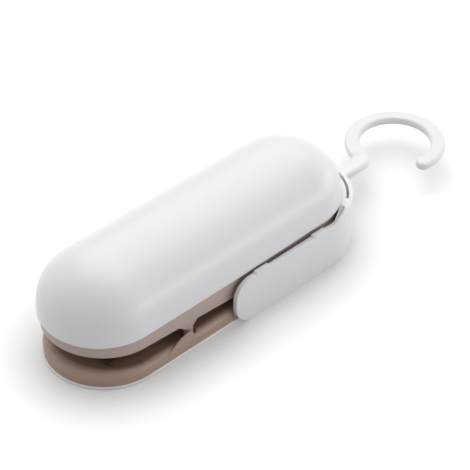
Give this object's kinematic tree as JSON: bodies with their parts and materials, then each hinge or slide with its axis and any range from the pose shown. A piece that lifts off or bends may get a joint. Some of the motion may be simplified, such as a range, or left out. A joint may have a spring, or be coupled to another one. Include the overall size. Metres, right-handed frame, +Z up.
{
  "type": "mini bag sealer",
  "caption": "Hand-held heat sealer for bags: a domed press arm with cells and a heating line, hinged in a base with a silicone pad, a rear band and a swivelling hook.",
  "frame": {"origin": "middle of the base cover's underside, on the surface that it rests on", "axes": "+X along the body towards the hook, +Y to the side, +Z up"},
  "size_m": [0.1627, 0.0422, 0.0351],
  "materials": {
    "white_shell": "moulded white plastic, satin gloss",
    "taupe_jaw": "moulded taupe plastic, satin",
    "silicone_pad": "moulded silicone, dull",
    "pin_steel": "turned, bright",
    "spring_steel": "drawn wire, bright",
    "plated_strip": "stamped, nickel plated",
    "terminal_brass": "stamped, bright",
    "heating_ribbon": "rolled ribbon, dull",
    "holder_board": "moulded phenolic, dull",
    "release_film": "coated glass cloth, satin",
    "switch_black": "moulded, fine texture",
    "plunger_cream": "moulded, satin",
    "cell_jacket": "printed film jacket, plain",
    "lead_red": "insulated wire, satin",
    "lead_black": "insulated wire, satin"
  },
  "bodies": {
    "base": {"base_cover": "white_shell", "lower_jaw": "taupe_jaw", "rear_band": "white_shell", "sealing_pad": "silicone_pad", "hinge_pin": "pin_steel", "base_screws": "pin_steel", "return_spring": "spring_steel"},
    "press_arm": {"upper_frame": "taupe_jaw", "heater_holder": "holder_board", "heating_strip": "heating_ribbon", "heater_film": "release_film", "heater_screws": "pin_steel", "heater_terminals": "terminal_brass", "switch_body": "switch_black", "switch_terminals": "terminal_brass", "battery_left": "cell_jacket", "battery_right": "cell_jacket", "link_plate": "plated_strip", "plus_plate": "plated_strip", "minus_plate": "plated_strip", "contact_springs": "spring_steel", "lead_plus": "lead_red", "lead_minus": "lead_black", "lead_heater": "lead_red"},
    "shell": {"top_shell": "white_shell"},
    "plunger": {"switch_plunger": "plunger_cream"},
    "hook": {"hook": "white_shell", "hook_clip": "pin_steel"}
  },
  "joints": [
    {"name": "press", "type": "hinge", "parent": "base", "child": "press_arm", "pos_m": [0.0304, 0, 0.012], "axis": [0, -1, 0], "range_deg": [0, 3.3], "stiffness_Nm_per_rad": 2.5, "springref_deg": -2.29, "deforming": ["return_spring"]},
    {"name": "shell_lift", "type": "slide", "parent": "press_arm", "child": "shell", "axis": [0, 0, 1], "range_m": [0, 0.04]},
    {"name": "plunger_slide", "type": "slide", "parent": "press_arm", "child": "plunger", "axis": [0.0593, 0, 0.9982], "range_m": [0, 0.0032]},
    {"name": "hook_swivel", "type": "hinge", "parent": "base", "child": "hook", "pos_m": [0.0585, 0, 0.01015], "axis": [1, 0, 0], "range_deg": [0, 180]}
  ],
  "couplings": [
    {"joint": "plunger_slide", "follows": "press", "m_per_rad": 0.0521}
  ]
}
